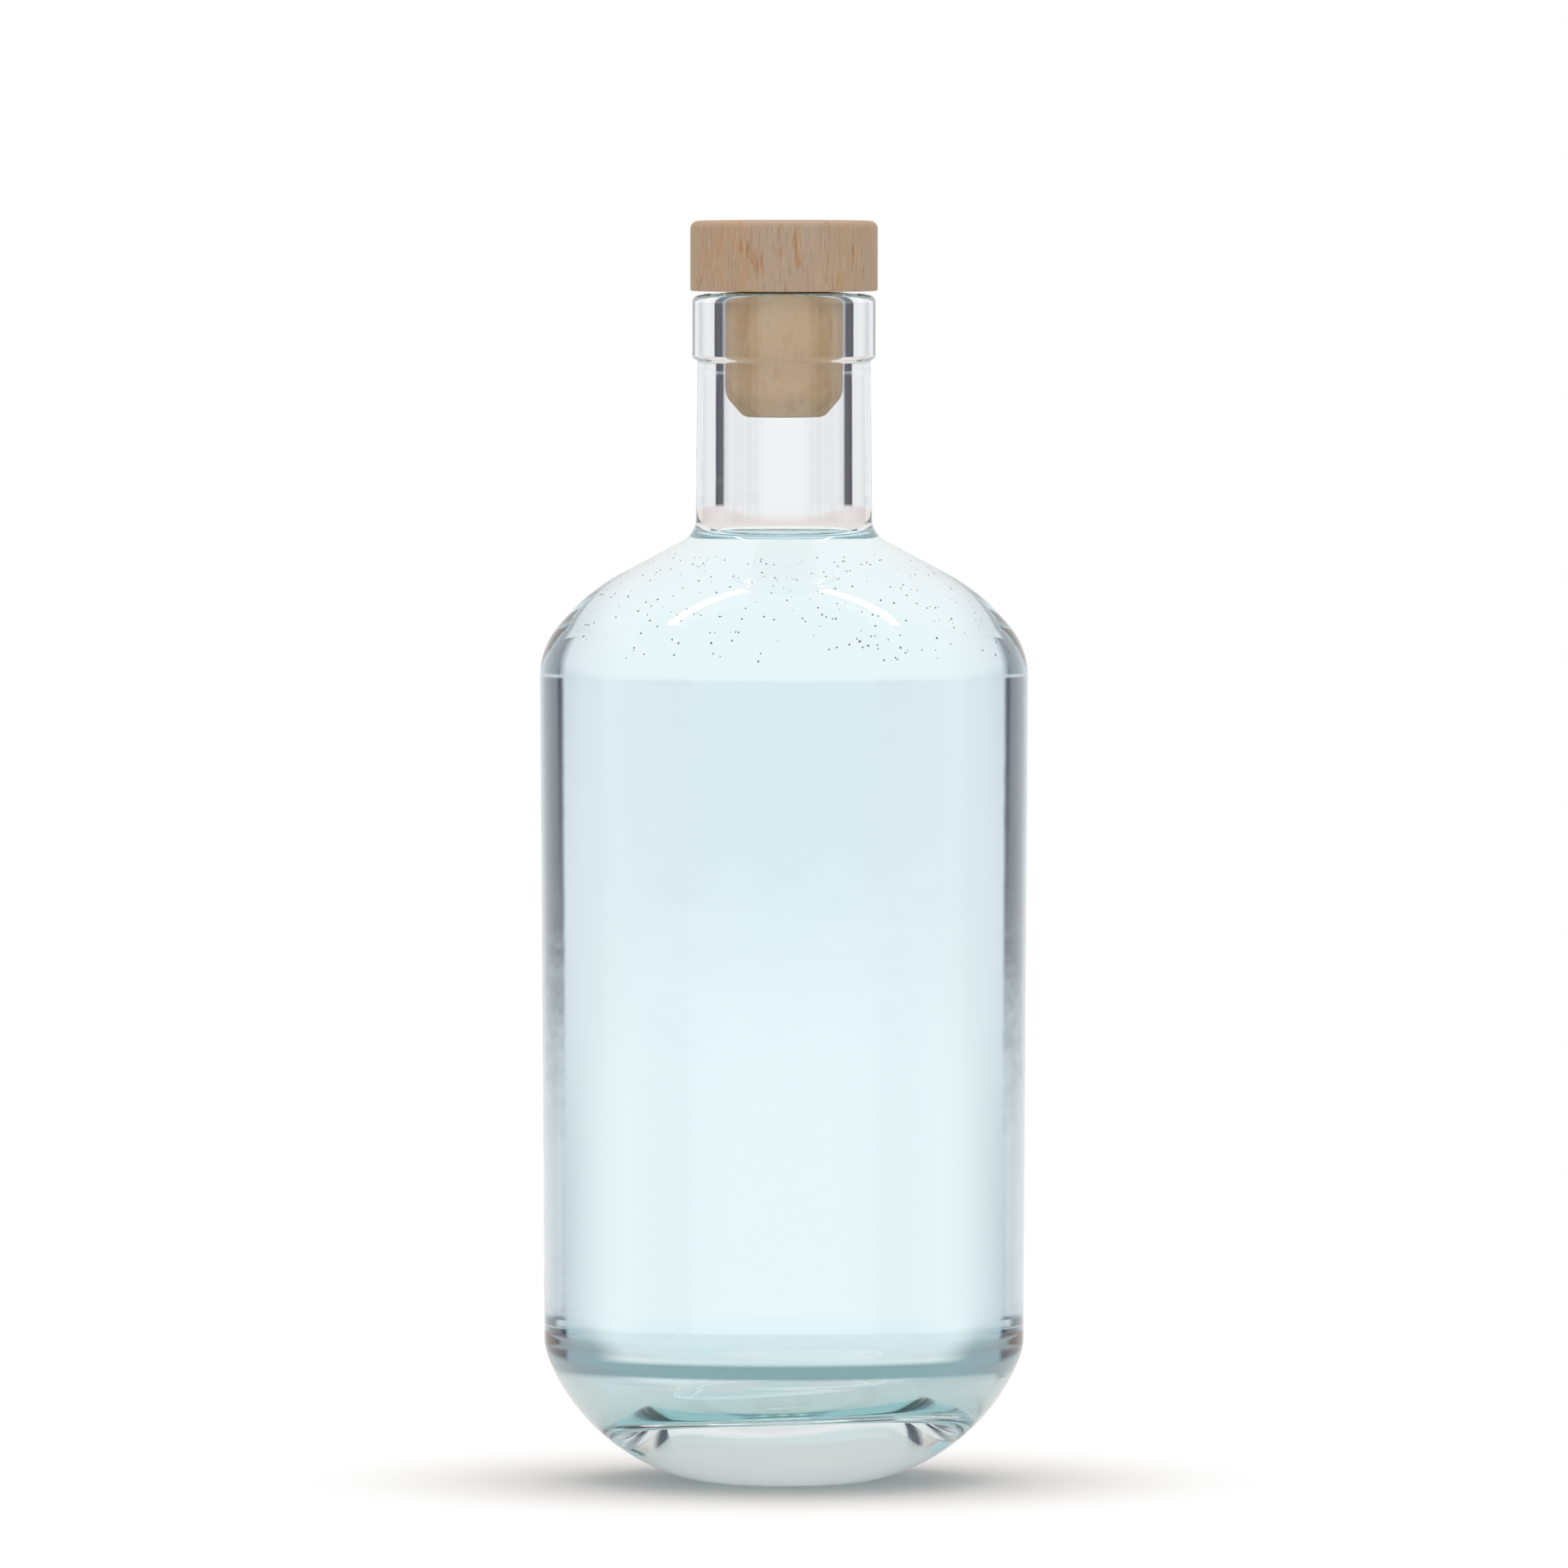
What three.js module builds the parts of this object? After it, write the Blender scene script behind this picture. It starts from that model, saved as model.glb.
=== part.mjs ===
// A clear glass bottle of pale blue liquid, closed with a wooden bar-top stopper.
// Millimetres, +Z up. The bottle stands on z = 0 with its axis on the Z axis.
import * as THREE from "three";

// Outside of the glass, from the foot up
const bearingRadius = 13.8;
const bearingWidth = 3.5;
const pushUpHeight = 1.8;
const pushUpCrownRadius = 4;
const pushUpFillet = 10;
const heelHeight = 21.2;
const heelRadius = 32.6;
const heelEdgeFillet = 9;
const bodyFootRadius = 38.4;
const bodyTopRadius = 39.1;
const bodyHeight = 112.3;
const bodyTopFillet = 12.5;
const shoulderSteepAngle = 50;
const shoulderBreakRadius = 31.5;
const shoulderBreakFillet = 32;
const shoulderSlopeAngle = 28.2;
const neckFootRadius = 14.1;
const neckFootFillet = 4;
const neckTopRadius = 13.85;
const neckHeight = 27.5;

// Finish: the thick ring round the mouth, and its crowned lip
const finishRadius = 14.7;
const finishHeight = 10.9;
const finishFootFillet = 0.9;
const finishFootRise = 0.6;
const finishStepFillet = 0.4;
const finishTopFillet = 1.2;
const lipCrownHeight = 0.4;
const lipCrownFillet = 3;
const lipMouthFillet = 0.9;

// Inside of the glass
const wallThickness = 3;
const shoulderWallThickness = 3.2;
const boreRadius = 9.75;
const boreLength = 35;
const boreFlareFillet = 14;
const boreFootRadius = 10.8;
const cavityNeckFillet = 3;
const baseThickness = 12.5;
const floorRingRadius = 24;
const floorRingFillet = 6;
const floorDomeHeight = 8;
const floorCrownRadius = 12;
const floorCrownFillet = 6;
const floorRimRise = 4;
const cavityHeelFillet = 12;

// Liquid, which fills the cavity up to the foot of the neck and creeps up the glass at its edge
const fillBelowNeckFoot = 1.7;
const meniscusRise = 1.3;
const meniscusWidth = 2.4;
const liquidClearance = 0.3;

// Stopper: a straight plug glued under a turned disc
const shankLength = 19.9;
const shankClearance = 0.3;
const shankChamferWidth = 3;
const shankChamferLength = 3.5;
const shankChamferFillet = 1.2;
const glueGap = 0.3;
const headRadius = 15;
const headHeight = 11.2;
const headTopFillet = 1.3;
const headFootFillet = 0.3;
const headSeatGap = 0.4;

// How finely the round forms are cut into facets
const facetsAround = 56;
const facetTolerance = 0.08;
const meniscusSteps = 3;

const point = (radius, height, fillet = 0) => ({ radius, height, fillet });
const tangentOf = (degrees) => Math.tan(THREE.MathUtils.degToRad(degrees));
const asVector = (corner) => new THREE.Vector2(corner.radius, corner.height);

// Steps that an arc is cut into, so that no chord lies further from it than the tolerance.
function stepsFor(turn, radius) {
  const widestStep = 2 * Math.acos(1 - Math.min(facetTolerance / radius, 0.2));
  return Math.ceil(turn / widestStep);
}

// The arc that rounds the corner between two straight legs, tangent to both.
function filletArc(before, corner, after, fillet) {
  const towardsBefore = before.clone().sub(corner);
  const towardsAfter = after.clone().sub(corner);
  const halfAngle = Math.acos(towardsBefore.clone().normalize().dot(towardsAfter.clone().normalize())) / 2;
  const longestTangent = Math.min(towardsBefore.length(), towardsAfter.length()) * 0.95;
  const tangent = Math.min(fillet / Math.tan(halfAngle), longestTangent);
  const radius = tangent * Math.tan(halfAngle);
  const bisector = towardsBefore.clone().normalize().add(towardsAfter.clone().normalize()).normalize();
  const centre = corner.clone().addScaledVector(bisector, radius / Math.sin(halfAngle));
  const start = corner.clone().addScaledVector(towardsBefore.normalize(), tangent).sub(centre);
  const end = corner.clone().addScaledVector(towardsAfter.normalize(), tangent).sub(centre);
  const turn = Math.atan2(start.cross(end), start.dot(end));
  const steps = stepsFor(Math.abs(turn), radius);
  return Array.from({ length: steps + 1 }, (_, i) =>
    start.clone().rotateAround(new THREE.Vector2(), (turn * i) / steps).add(centre));
}

// A profile through corners, each rounded by its own fillet.
function roundedProfile(corners) {
  return corners.flatMap((corner, i) => {
    if (corner.fillet === 0) return [asVector(corner)];
    return filletArc(asVector(corners[i - 1]), asVector(corner), asVector(corners[i + 1]), corner.fillet);
  });
}

// A line in the section, moved towards the axis side by the thickness of the wall.
function insideLine(from, to, thickness) {
  const direction = asVector(to).sub(asVector(from)).normalize();
  const inward = new THREE.Vector2(-direction.y, direction.x).multiplyScalar(thickness);
  return { start: asVector(from).add(inward), direction };
}

// The corner where two section lines meet.
function cornerWhere(line, other, fillet) {
  const apart = other.start.clone().sub(line.start);
  const along = apart.cross(other.direction) / line.direction.cross(other.direction);
  const meeting = line.start.clone().addScaledVector(line.direction, along);
  return point(meeting.x, meeting.y, fillet);
}

// The profile cut off at a height, where its last leg crosses it.
function cutAtHeight(profile, height) {
  const above = profile.findIndex((vertex) => vertex.y > height);
  const below = profile[above - 1];
  const share = (height - below.y) / (profile[above].y - below.y);
  return [...profile.slice(0, above), below.clone().lerp(profile[above], share)];
}

// Corners that the outside and the inside share
const bodyFoot = point(bodyFootRadius, heelHeight);
const bodyTop = point(bodyTopRadius, heelHeight + bodyHeight);
const steepRise = (bodyTopRadius - shoulderBreakRadius) * tangentOf(shoulderSteepAngle);
const shoulderBreak = point(shoulderBreakRadius, bodyTop.height + steepRise);
const slopeRise = (shoulderBreakRadius - neckFootRadius) * tangentOf(shoulderSlopeAngle);
const neckFoot = point(neckFootRadius, shoulderBreak.height + slopeRise);
const neckTop = point(neckTopRadius, neckFoot.height + neckHeight);
const lipTop = neckTop.height + finishHeight;
const lipCrownRadius = (boreRadius + finishRadius) / 2;
const fillLevel = neckFoot.height - fillBelowNeckFoot;

// The heel: one large arc from the bearing ring out to the body.
function heelArc() {
  const foot = new THREE.Vector2(bearingRadius, 0);
  const top = asVector(bodyFoot);
  const halfChord = foot.distanceTo(top) / 2;
  const towardsAxis = top.clone().sub(foot).normalize().rotateAround(new THREE.Vector2(), Math.PI / 2);
  const depth = Math.sqrt(heelRadius ** 2 - halfChord ** 2);
  const centre = foot.clone().lerp(top, 0.5).addScaledVector(towardsAxis, depth);
  const turn = 2 * Math.asin(halfChord / heelRadius);
  const steps = stepsFor(turn, heelRadius);
  return Array.from({ length: steps + 1 }, (_, i) => foot.clone().rotateAround(centre, (turn * i) / steps));
}

// The soft edge where the heel ends and the straight body begins.
function heelEdge(heel) {
  const top = heel[heel.length - 1];
  const edge = filletArc(heel[heel.length - 2], top, asVector(bodyTop), heelEdgeFillet);
  return [...heel.slice(0, -1), ...edge];
}

function glassOutside() {
  const foot = roundedProfile([
    point(0, pushUpHeight),
    point(pushUpCrownRadius, pushUpHeight, pushUpFillet),
    point(bearingRadius - bearingWidth, 0),
  ]);
  const aboveHeel = roundedProfile([
    bodyFoot,
    { ...bodyTop, fillet: bodyTopFillet },
    { ...shoulderBreak, fillet: shoulderBreakFillet },
    { ...neckFoot, fillet: neckFootFillet },
    { ...neckTop, fillet: finishStepFillet },
    point(finishRadius, neckTop.height + finishFootRise, finishFootFillet),
    point(finishRadius, lipTop - lipCrownHeight, finishTopFillet),
    point(lipCrownRadius, lipTop, lipCrownFillet),
    point(boreRadius, lipTop - lipCrownHeight / 2, lipMouthFillet),
    point(boreRadius, lipTop - boreLength),
  ]);
  return [...foot, ...heelEdge(heelArc()), ...aboveHeel.slice(1, -1)];
}

// The cavity from the floor up to the bore, drawn in from the glass by a clearance.
function cavity(clearance) {
  const wall = insideLine(bodyFoot, bodyTop, wallThickness + clearance);
  const steep = insideLine(bodyTop, shoulderBreak, shoulderWallThickness + clearance);
  const slope = insideLine(shoulderBreak, neckFoot, shoulderWallThickness + clearance);
  const boreFoot = point(boreFootRadius, neckFoot.height);
  const boreTop = point(boreRadius, lipTop - boreLength);
  const flare = insideLine(boreFoot, boreTop, clearance);
  const floor = baseThickness + clearance;
  const floorRim = insideLine(
    point(floorRingRadius, baseThickness),
    point(bodyFootRadius, baseThickness + floorRimRise),
    clearance,
  );
  return roundedProfile([
    point(0, floor + floorDomeHeight),
    point(floorCrownRadius, floor + floorDomeHeight, floorCrownFillet + clearance),
    point(floorRingRadius, floor, floorRingFillet),
    cornerWhere(floorRim, wall, cavityHeelFillet - clearance),
    cornerWhere(wall, steep, bodyTopFillet - wallThickness - clearance),
    cornerWhere(steep, slope, shoulderBreakFillet - shoulderWallThickness - clearance),
    cornerWhere(slope, flare, cavityNeckFillet + clearance),
    point(boreRadius - clearance, lipTop - boreLength, boreFlareFillet),
    point(boreRadius - clearance, lipTop),
  ]).slice(0, -1);
}

function liquidProfile() {
  const wetted = cutAtHeight(cavity(liquidClearance), fillLevel + meniscusRise);
  const rim = wetted[wetted.length - 1];
  const meniscus = Array.from({ length: meniscusSteps }, (_, i) => {
    const share = (i + 1) / meniscusSteps;
    return new THREE.Vector2(rim.x - meniscusWidth * share, fillLevel + meniscusRise * (1 - share) ** 2);
  });
  return [...wetted, ...meniscus, new THREE.Vector2(0, fillLevel)];
}

function shankProfile(top) {
  const radius = boreRadius - shankClearance;
  const foot = top - shankLength;
  return roundedProfile([
    point(0, foot),
    point(radius - shankChamferWidth, foot, shankChamferFillet),
    point(radius, foot + shankChamferLength, shankChamferFillet),
    point(radius, top),
    point(0, top),
  ]);
}

function headProfile(foot) {
  return roundedProfile([
    point(0, foot),
    point(headRadius, foot, headFootFillet),
    point(headRadius, foot + headHeight, headTopFillet),
    point(0, foot + headHeight),
  ]);
}

// One turned piece: its profile swept round the Z axis.
function turned(name, profile, material) {
  const geometry = new THREE.LatheGeometry(profile, facetsAround);
  geometry.rotateX(Math.PI / 2);
  const mesh = new THREE.Mesh(geometry, material);
  mesh.name = name;
  return mesh;
}

const glass = new THREE.MeshStandardMaterial({
  color: 0xdfeef2, roughness: 0.03, metalness: 0, transparent: true, opacity: 0.35,
});
const paleBlueLiquid = new THREE.MeshStandardMaterial({
  color: 0xcfe8f0, roughness: 0.02, metalness: 0, transparent: true, opacity: 0.5,
});
const paleWood = new THREE.MeshStandardMaterial({ color: 0xc4a684, roughness: 0.62, metalness: 0 });
const mouldedCork = new THREE.MeshStandardMaterial({ color: 0xbfa383, roughness: 0.7, metalness: 0 });

const headFoot = lipTop + headSeatGap;

const bottle = new THREE.Group();
bottle.add(turned("bottle", [...glassOutside(), ...cavity(0).reverse()], glass));
bottle.add(turned("liquid", liquidProfile(), paleBlueLiquid));
bottle.add(turned("stopper_shank", shankProfile(headFoot - glueGap), mouldedCork));
bottle.add(turned("stopper_head", headProfile(headFoot), paleWood));

export default bottle;
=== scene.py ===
# %% [markdown]
# # A glass bottle with a wooden stopper
# This lesson dresses a bottle in Blender. A imported model of the same bottle comes first: it holds the
# true sizes, and it stays in the scene as the frame that each finished piece has to fit. It is loaded
# once, at the top.

# %% Load the frame
import math
import random

import bpy
from mathutils import Matrix, Vector


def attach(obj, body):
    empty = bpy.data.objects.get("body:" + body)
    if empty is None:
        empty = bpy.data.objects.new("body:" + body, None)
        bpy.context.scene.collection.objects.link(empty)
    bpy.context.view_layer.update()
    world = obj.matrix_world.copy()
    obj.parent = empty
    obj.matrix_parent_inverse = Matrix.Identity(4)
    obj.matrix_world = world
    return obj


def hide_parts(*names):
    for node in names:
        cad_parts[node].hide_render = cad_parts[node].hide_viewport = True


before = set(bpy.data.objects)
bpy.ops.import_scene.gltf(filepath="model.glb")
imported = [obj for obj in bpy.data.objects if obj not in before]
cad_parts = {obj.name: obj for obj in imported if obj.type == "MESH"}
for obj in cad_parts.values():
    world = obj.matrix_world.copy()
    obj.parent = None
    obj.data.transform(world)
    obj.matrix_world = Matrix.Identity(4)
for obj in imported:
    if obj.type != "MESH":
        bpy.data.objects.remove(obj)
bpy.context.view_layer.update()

MM = 0.001
print("frame nodes:", sorted(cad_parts))

# %% [markdown]
# ## Drawing a section by hand
# Everything here was turned, blown in a round mould or poured into something round, so every piece starts
# as half of its section. A section could be typed in as a list of points, but then nobody could see which
# point is a corner and which is only there to make a curve. Here it is drawn as a draughtsman would: one
# vertex is pulled along by extrude for each straight leg, and swung about a centre by spin for each
# fillet. A corner is written as its radius from the axis, its height, and the radius of the fillet that
# rounds it.

# %% Corners and fillets
ARC_STEP = math.radians(3)


def corner(radius, height, fillet=0.0):
    return Vector((radius, height)), fillet


def fillet_of(before, at, after, fillet):
    """Where a fillet starts, the centre that it turns about, and how far it turns."""
    to_before = (before - at).normalized()
    to_after = (after - at).normalized()
    half_angle = to_before.angle(to_after) / 2
    reach = fillet / math.tan(half_angle)
    start = at + to_before * reach
    centre = at + (to_before + to_after).normalized() * (fillet / math.sin(half_angle))
    turn = math.pi - 2 * half_angle
    turns_left = (at - before).cross(after - at) > 0
    return start, centre, turn if turns_left else -turn


print("an arc has a step every", round(math.degrees(ARC_STEP)), "degrees")

# %% [markdown]
# ### The pen
# The pen is one vertex. A long leg that meets a curve would be shaded as if it were bent, because smooth
# shading blends over the whole face, and glass shows that at once. So each long leg has a short stride at
# both ends.

# %% Pull and swing the pen
STRIDE = 0.3 * MM
LONG_LEG = 4 * STRIDE
NO_LEG = 0.0001 * MM


def put_pen(radius, height):
    """A plane, merged to the single vertex that the outline is drawn with."""
    bpy.ops.object.select_all(action="DESELECT")
    bpy.ops.mesh.primitive_plane_add(size=MM, location=(0, 0, 0))
    bpy.ops.object.mode_set(mode="EDIT")
    bpy.ops.mesh.select_all(action="SELECT")
    bpy.ops.mesh.merge(type="CENTER")
    bpy.ops.transform.translate(value=(radius, 0, height))


def pull_pen(start, end):
    """Pulls the pen along a leg, with a short stride at both ends of a long one to keep its shading flat."""
    leg = end - start
    if leg.length < NO_LEG:
        return
    end_share = STRIDE / leg.length
    shares = [end_share, 1 - 2 * end_share, end_share] if leg.length > LONG_LEG else [1.0]
    for share in shares:
        step = (leg.x * share, 0, leg.y * share)
        bpy.ops.mesh.extrude_region_move(TRANSFORM_OT_translate={"value": step})


def swing_pen(centre, turn):
    steps = max(2, math.ceil(abs(turn) / ARC_STEP))
    bpy.ops.mesh.spin(steps=steps, angle=turn, center=(centre.x, 0, centre.y), axis=(0, 1, 0))


def end_of_swing(start, centre, turn):
    arm = start - centre
    across = Vector((-arm.y, arm.x))
    return centre + arm * math.cos(turn) + across * math.sin(turn)


def draw_on(corners, pen):
    """Draws through the corners, from where the pen is, and returns where it ends."""
    points = [pen] + [at for at, _ in corners]
    for i, (at, fillet) in enumerate(corners):
        if fillet == 0:
            pull_pen(pen, at)
            pen = at
            continue
        start, centre, turn = fillet_of(points[i], at, points[i + 2], fillet)
        pull_pen(pen, start)
        swing_pen(centre, turn)
        pen = end_of_swing(start, centre, turn)
    return pen


print("a long leg has a stride of", round(STRIDE / MM, 1), "mm at both ends")

# %% [markdown]
# ## From section to solid
# A finished section is swept round the axis by one full spin, which is what the lathe, the blow mould or
# gravity does to the real piece. The spin leaves a seam and a pile of doubles at each pole, so they are
# merged, and the normals are worked out again, because a spin can leave the skin inside out.

# %% Turn a section
STEPS_AROUND = 160
SAME_PLACE = 0.002 * MM
SHARP_EDGE = math.radians(50)


def turn_section(name):
    """Spins the outline in hand into a closed solid of revolution, and names it."""
    bpy.ops.mesh.select_all(action="SELECT")
    bpy.ops.mesh.spin(steps=STEPS_AROUND, angle=2 * math.pi, center=(0, 0, 0), axis=(0, 0, 1))
    bpy.ops.mesh.select_all(action="SELECT")
    bpy.ops.mesh.remove_doubles(threshold=SAME_PLACE)
    bpy.ops.mesh.normals_make_consistent(inside=False)
    bpy.ops.object.mode_set(mode="OBJECT")
    piece = bpy.context.object
    piece.name = name
    piece.data.name = name
    bpy.ops.object.shade_smooth_by_angle(angle=SHARP_EDGE)
    print(name, "has", len(piece.data.polygons), "faces")
    return piece


print("a full turn has", STEPS_AROUND, "steps")

# %% [markdown]
# ## The sizes of the glass
# The outside is set by the mould: a bearing ring to stand on, a heel of one large radius, a body that
# widens by less than a millimetre towards the shoulder, a shoulder of two slopes, the neck, and the thick
# finish ring that a machine grips while the rest is blown. The inside isn't moulded: it follows at the
# thickness that the parison left, thick and uneven in the foot, thinner in the body, thick again in the
# neck.

# %% Outside sizes
BEARING_RADIUS = 13.8 * MM
BEARING_WIDTH = 3.5 * MM
PUSH_UP_HEIGHT = 1.8 * MM
PUSH_UP_CROWN = 4 * MM
HEEL_HEIGHT = 21.2 * MM
HEEL_RADIUS = 32.6 * MM
HEEL_EDGE_FILLET = 9 * MM
BODY_FOOT_RADIUS = 38.4 * MM
BODY_TOP_RADIUS = 39.1 * MM
BODY_HEIGHT = 112.3 * MM
STEEP_ANGLE = math.radians(50)
SLOPE_ANGLE = math.radians(28.2)
BREAK_RADIUS = 31.5 * MM
NECK_FOOT_RADIUS = 14.1 * MM
NECK_TOP_RADIUS = 13.85 * MM
NECK_HEIGHT = 27.5 * MM
FINISH_RADIUS = 14.7 * MM
FINISH_HEIGHT = 10.9 * MM
LIP_CROWN = 0.4 * MM

BODY_TOP = HEEL_HEIGHT + BODY_HEIGHT
BREAK_HEIGHT = BODY_TOP + (BODY_TOP_RADIUS - BREAK_RADIUS) * math.tan(STEEP_ANGLE)
NECK_FOOT = BREAK_HEIGHT + (BREAK_RADIUS - NECK_FOOT_RADIUS) * math.tan(SLOPE_ANGLE)
NECK_TOP = NECK_FOOT + NECK_HEIGHT
LIP_TOP = NECK_TOP + FINISH_HEIGHT
print("the lip is", round(LIP_TOP / MM, 1), "mm up")

# %% [markdown]
# ### The inside
# The wall is thinnest in the body. The floor has a low dome where the push-up pressed the soft glass up.

# %% Inside sizes
WALL = 3 * MM
SHOULDER_WALL = 3.2 * MM
BORE_RADIUS = 9.75 * MM
BORE_LENGTH = 35 * MM
BORE_FOOT_RADIUS = 10.8 * MM
BORE_FOOT = LIP_TOP - BORE_LENGTH
BASE_THICKNESS = 12.5 * MM
FLOOR_RING_RADIUS = 24 * MM
FLOOR_DOME_HEIGHT = 8 * MM
FLOOR_CROWN = 12 * MM
FLOOR_RIM_RISE = 4 * MM
print("the bore ends", round(BORE_FOOT / MM, 1), "mm up")

# %% [markdown]
# ## The glass
# The outline goes from the push-up under the foot, over the bearing ring, up the outside, over the lip,
# down the bore and along the inside to the middle of the floor. Drawn in one go, it becomes one closed
# skin, as one piece of glass is. The cavity's corners are the outside's own, moved in by the wall, so the
# two can't drift apart.

# %% Lines moved in by a wall
CROWN_FILLET = 6 * MM
RING_FILLET = 6 * MM
CAVITY_HEEL_FILLET = 12 * MM
CAVITY_BODY_FILLET = 9.5 * MM
CAVITY_BREAK_FILLET = 28.8 * MM
CAVITY_NECK_FILLET = 3 * MM
BORE_FOOT_FILLET = 14 * MM


def inside_line(start, end, thickness):
    direction = (end - start).normalized()
    return start + Vector((-direction.y, direction.x)) * thickness, direction


def meeting(line, other):
    apart = other[0] - line[0]
    along = apart.cross(other[1]) / line[1].cross(other[1])
    return line[0] + line[1] * along


body_foot = Vector((BODY_FOOT_RADIUS, HEEL_HEIGHT))
body_top = Vector((BODY_TOP_RADIUS, BODY_TOP))
shoulder_break = Vector((BREAK_RADIUS, BREAK_HEIGHT))
neck_foot = Vector((NECK_FOOT_RADIUS, NECK_FOOT))


def cavity_corners(clearance):
    """Corners of the cavity, from the middle of the floor up to the bore, drawn in by a clearance."""
    wall = inside_line(body_foot, body_top, WALL + clearance)
    steep = inside_line(body_top, shoulder_break, SHOULDER_WALL + clearance)
    slope = inside_line(shoulder_break, neck_foot, SHOULDER_WALL + clearance)
    bore_foot = Vector((BORE_FOOT_RADIUS, NECK_FOOT))
    bore_top = Vector((BORE_RADIUS, BORE_FOOT))
    flare = inside_line(bore_foot, bore_top, clearance)
    floor_ring = Vector((FLOOR_RING_RADIUS, BASE_THICKNESS))
    rim_end = Vector((BODY_FOOT_RADIUS, BASE_THICKNESS + FLOOR_RIM_RISE))
    rim = inside_line(floor_ring, rim_end, clearance)
    floor = BASE_THICKNESS + clearance
    return [
        corner(0, floor + FLOOR_DOME_HEIGHT),
        corner(FLOOR_CROWN, floor + FLOOR_DOME_HEIGHT, CROWN_FILLET + clearance),
        corner(FLOOR_RING_RADIUS, floor, RING_FILLET),
        (meeting(rim, wall), CAVITY_HEEL_FILLET - clearance),
        (meeting(wall, steep), CAVITY_BODY_FILLET - clearance),
        (meeting(steep, slope), CAVITY_BREAK_FILLET - clearance),
        (meeting(slope, flare), CAVITY_NECK_FILLET + clearance),
        corner(BORE_RADIUS - clearance, BORE_FOOT, BORE_FOOT_FILLET),
        corner(BORE_RADIUS - clearance, LIP_TOP),
    ]


print("the cavity has", len(cavity_corners(0)), "corners")

# %% [markdown]
# ### The heel
# One large arc carries the wall from the ring that the bottle stands on to the foot of the body. Its
# centre follows from its two ends and its radius, so it is worked out and not typed in.

# %% Draw the heel
HEEL_EDGE_REACH = math.radians(8)


def draw_heel(pen):
    """One arc from the bearing ring that stops just short of the foot of the body, where its edge begins."""
    half_chord = (body_foot - pen).length / 2
    chord = (body_foot - pen).normalized()
    depth = math.sqrt(HEEL_RADIUS ** 2 - half_chord ** 2)
    centre = (pen + body_foot) / 2 + Vector((-chord.y, chord.x)) * depth
    turn = 2 * math.asin(half_chord / HEEL_RADIUS) - HEEL_EDGE_REACH
    swing_pen(centre, turn)
    return end_of_swing(pen, centre, turn)


print("the heel's arc has a radius of", round(HEEL_RADIUS / MM, 1), "mm")

# %% [markdown]
# ### A floor that isn't level
# Molten glass settles as the mould is carried, so the thick floor of a bottle is never quite level. After
# the spin has made it round, the floor is turned by a few degrees as one patch. Proportional editing lets
# the wall around it follow smoothly, where a plain rotation would tear a step into it. Glass and liquid
# get the same lean.

# %% Lean the floor
FLOOR_LEAN = math.radians(2)
FLOOR_LEAN_REACH = 16 * MM
FLOOR_BELOW = 1 * MM
FLOOR_ABOVE = 2 * MM


def lean_floor(piece):
    """Turns the cavity's floor a little to one side, and lets the wall around it follow."""
    bpy.ops.object.select_all(action="DESELECT")
    piece.select_set(True)
    bpy.context.view_layer.objects.active = piece
    bpy.ops.object.mode_set(mode="EDIT")
    bpy.ops.mesh.select_all(action="DESELECT")
    bpy.ops.object.mode_set(mode="OBJECT")
    lowest = BASE_THICKNESS - FLOOR_BELOW
    highest = BASE_THICKNESS + FLOOR_DOME_HEIGHT + FLOOR_ABOVE
    for vertex in piece.data.vertices:
        radius = math.hypot(vertex.co.x, vertex.co.y)
        vertex.select = lowest < vertex.co.z < highest and radius < FLOOR_RING_RADIUS
    bpy.ops.object.mode_set(mode="EDIT")
    bpy.ops.transform.rotate(
        value=FLOOR_LEAN, orient_axis="Y", center_override=(0, 0, BASE_THICKNESS),
        use_proportional_edit=True, use_proportional_connected=True,
        proportional_edit_falloff="SMOOTH", proportional_size=FLOOR_LEAN_REACH,
    )
    bpy.ops.object.mode_set(mode="OBJECT")
    floor = [vertex.co.z for vertex in piece.data.vertices if vertex.select]
    print(piece.name, "floor from", round(min(floor) / MM, 1), "to", round(max(floor) / MM, 1), "mm")


print("the floor leans by", round(math.degrees(FLOOR_LEAN)), "degrees")

# %% [markdown]
# ### The joint under the finish
# The finish ring is pressed in a mould of its own, and the rest is blown in another. Where the two met, a
# ridge as thin as a hair stays round the neck. It is three corners in the outline, and it shows only as a
# fine bright line.

# %% Where the two moulds met
MOULD_JOINT_DROP = 2 * MM
MOULD_JOINT_HEIGHT = NECK_TOP - MOULD_JOINT_DROP
MOULD_JOINT_RISE = 0.025 * MM
MOULD_JOINT_HALF_WIDTH = 0.14 * MM


def mould_joint(height):
    """Three corners of a hair-thin ridge round the neck, on the straight leg from its foot to its top."""
    share = (height - NECK_FOOT) / NECK_HEIGHT
    radius = NECK_FOOT_RADIUS + (NECK_TOP_RADIUS - NECK_FOOT_RADIUS) * share
    return [
        corner(radius, height - MOULD_JOINT_HALF_WIDTH),
        corner(radius + MOULD_JOINT_RISE, height),
        corner(radius, height + MOULD_JOINT_HALF_WIDTH),
    ]


print("the joint runs round the neck", round(MOULD_JOINT_HEIGHT / MM, 1), "mm up")

# %% [markdown]
# ### The fillets of the outside
# No edge of a blown bottle is sharp. The mould gives the shoulder its large radii, and the fire rounds
# the lip.

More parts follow.
